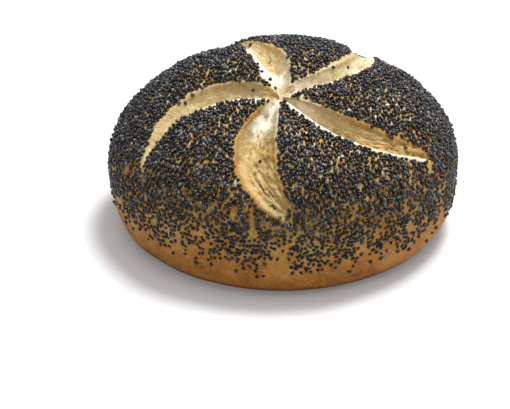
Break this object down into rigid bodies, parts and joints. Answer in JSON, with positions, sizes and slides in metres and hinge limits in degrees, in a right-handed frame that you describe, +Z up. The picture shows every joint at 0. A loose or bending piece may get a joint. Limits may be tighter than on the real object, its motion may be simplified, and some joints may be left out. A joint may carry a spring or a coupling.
{
  "type": "poppy seed star roll",
  "caption": "Round baked bread roll with a flat foot and a swirled star pressed into its top, its crust covered in poppy seeds between the pale cuts of the star.",
  "frame": {"origin": "middle of the flat foot on the surface it rests on, under the middle of the roll's outer box", "axes": "+Z up through the crown, -Y towards the front, where the longest cut of the star runs down, +X to the right, the widest way across"},
  "size_m": [0.105, 0.097, 0.0531],
  "materials": {
    "crust": "satin",
    "poppy_seed": "satin"
  },
  "bodies": {
    "root": {"roll": "crust"}
  },
  "joints": []
}
